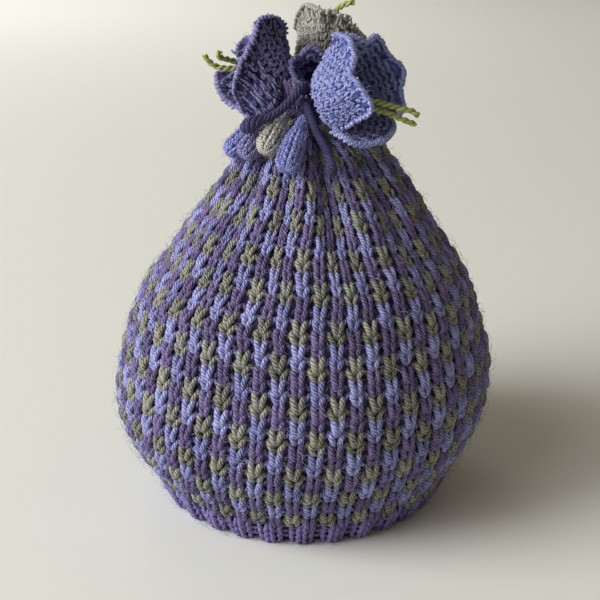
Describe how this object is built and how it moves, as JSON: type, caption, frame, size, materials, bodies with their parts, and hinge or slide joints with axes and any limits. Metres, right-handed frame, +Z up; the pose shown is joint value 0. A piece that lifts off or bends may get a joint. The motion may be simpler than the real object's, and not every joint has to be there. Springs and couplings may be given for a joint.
{
  "type": "tea cosy",
  "caption": "Hollow knitted bell that keeps a teapot warm, open at the hem, with a spout slit, a handle slit and a tied neck topped by knitted flowers.",
  "frame": {"origin": "centre of the object's box, at the level of the hem it stands on", "axes": "+Z up through the tied neck, -Y towards the front, -X towards the spout slit, +X towards the handle slit"},
  "size_m": [0.1798, 0.1824, 0.2377],
  "materials": {
    "lavender_wool": "matte knitted wool, lavender with purple and grey stitches",
    "purple_wool": "matte knitted wool, purple",
    "dark_purple_wool": "matte knitted wool, dark purple",
    "grey_wool": "matte knitted wool, warm grey",
    "lime_wool": "matte twisted wool, lime green"
  },
  "bodies": {
    "root": {"cosy_body": "lavender_wool", "flower_purple_left": "dark_purple_wool", "flower_lavender_right": "lavender_wool", "flower_grey_back": "grey_wool", "flower_purple_front": "dark_purple_wool", "bud_grey": "grey_wool", "bud_lavender": "lavender_wool", "bud_lavender_left": "lavender_wool", "bud_purple": "purple_wool", "tie_loop": "purple_wool", "tie_end_left": "purple_wool", "tie_end_right": "purple_wool", "stamen_left_a": "lime_wool", "stamen_left_b": "lime_wool", "stamen_right_a": "lime_wool", "stamen_right_b": "lime_wool", "stamen_back": "lime_wool"}
  },
  "joints": []
}
